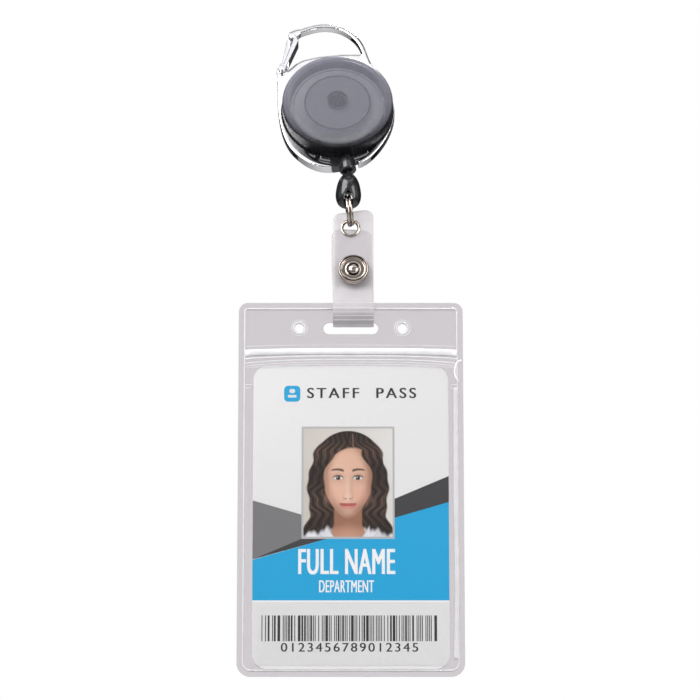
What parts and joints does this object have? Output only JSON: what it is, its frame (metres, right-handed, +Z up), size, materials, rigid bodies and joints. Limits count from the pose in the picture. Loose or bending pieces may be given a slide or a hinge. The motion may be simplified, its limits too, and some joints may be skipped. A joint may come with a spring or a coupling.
{
  "type": "retractable badge reel",
  "caption": "Round retractable cord reel in a sprung-gate carabiner frame, with a split ring, snap strap and clear press-zip badge holder with a card.",
  "frame": {"origin": "highest point inside the carabiner's arch, where it hangs on a belt loop or hook", "axes": "+Z up; the badge faces -Y; +X to the right of someone facing the badge"},
  "size_m": [0.0696, 0.0302, 0.215],
  "materials": {
    "chrome_casting": "polished chrome plate on a zinc casting",
    "nickel": "nickel plate, slightly warm",
    "spring_steel": "blued spring steel",
    "smoke_plastic": "glossy smoke-grey translucent",
    "black_plastic": "glossy black moulding",
    "cord": "braided nylon",
    "clear_vinyl": "clear soft vinyl, slightly frosted",
    "zip_vinyl": "extruded vinyl press zip",
    "card": "printed satin card"
  },
  "bodies": {
    "reel_body": {"carabiner_frame": "chrome_casting", "gate_pin": "chrome_casting", "front_cover": "smoke_plastic", "rear_cover": "smoke_plastic", "cover_pins": "black_plastic", "centre_post": "black_plastic", "cord_guide": "black_plastic", "power_spring": "spring_steel", "cord_run": "cord"},
    "gate": {"gate_lever": "chrome_casting", "gate_spring": "spring_steel"},
    "spool": {"spool": "black_plastic", "spool_cover": "black_plastic", "cord_winding": "cord"},
    "cord_end": {"cord_lead": "cord", "cord_knot": "cord"},
    "drop": {"cord_end_drop": "black_plastic"},
    "split_ring": {"split_ring": "nickel"},
    "strap": {"strap_front_leaf": "clear_vinyl", "strap_eyelet": "nickel", "snap_cap": "nickel", "snap_socket": "nickel"},
    "strap_flap": {"strap_rear_leaf": "clear_vinyl", "snap_stud": "nickel", "snap_post": "nickel"},
    "holder": {"holder_front_sheet": "clear_vinyl", "holder_back_sheet": "clear_vinyl", "zip_groove_strip": "zip_vinyl", "zip_rib_strip": "zip_vinyl", "id_card": "card"}
  },
  "joints": [
    {"name": "gate_swing", "type": "hinge", "parent": "reel_body", "child": "gate", "pos_m": [-0.01334, -0.00567, -0.01601], "axis": [0, 0.9426, -0.3338], "range_deg": [0, 22], "stiffness_Nm_per_rad": 0.01, "springref_deg": -28.65},
    {"name": "cord_pull", "type": "slide", "parent": "reel_body", "child": "cord_end", "axis": [0.1478, -0.3301, -0.9323], "range_m": [0, 0.762], "stiffness_N_per_m": 1.3, "springref_m": -0.77},
    {"name": "spool_spin", "type": "hinge", "parent": "reel_body", "child": "spool", "pos_m": [0.00463, -0.01177, -0.03085], "axis": [0, -0.9426, 0.3338], "range_deg": [0, 3450]},
    {"name": "drop_swivel", "type": "hinge", "parent": "cord_end", "child": "drop", "pos_m": [0.00808, -0.01873, -0.05288], "axis": [0, 0, 1], "continuous": true},
    {"name": "ring_swing", "type": "hinge", "parent": "drop", "child": "split_ring", "pos_m": [0.00808, -0.01873, -0.06308], "axis": [1, 0, 0], "range_deg": [-28, 28]},
    {"name": "strap_swing", "type": "hinge", "parent": "split_ring", "child": "strap", "pos_m": [0.00874, -0.01873, -0.06844], "axis": [1, 0, 0], "range_deg": [-16, 40]},
    {"name": "flap_open", "type": "hinge", "parent": "strap", "child": "strap_flap", "pos_m": [0.00964, -0.02537, -0.10404], "axis": [-1, 0, 0], "range_deg": [0, 75]},
    {"name": "holder_swing", "type": "hinge", "parent": "strap", "child": "holder", "pos_m": [0.00884, -0.02537, -0.10296], "axis": [1, 0, 0], "range_deg": [-24, 1]}
  ],
  "couplings": [
    {"joint": "spool_spin", "follows": "cord_pull", "rad_per_m": 77.5}
  ]
}
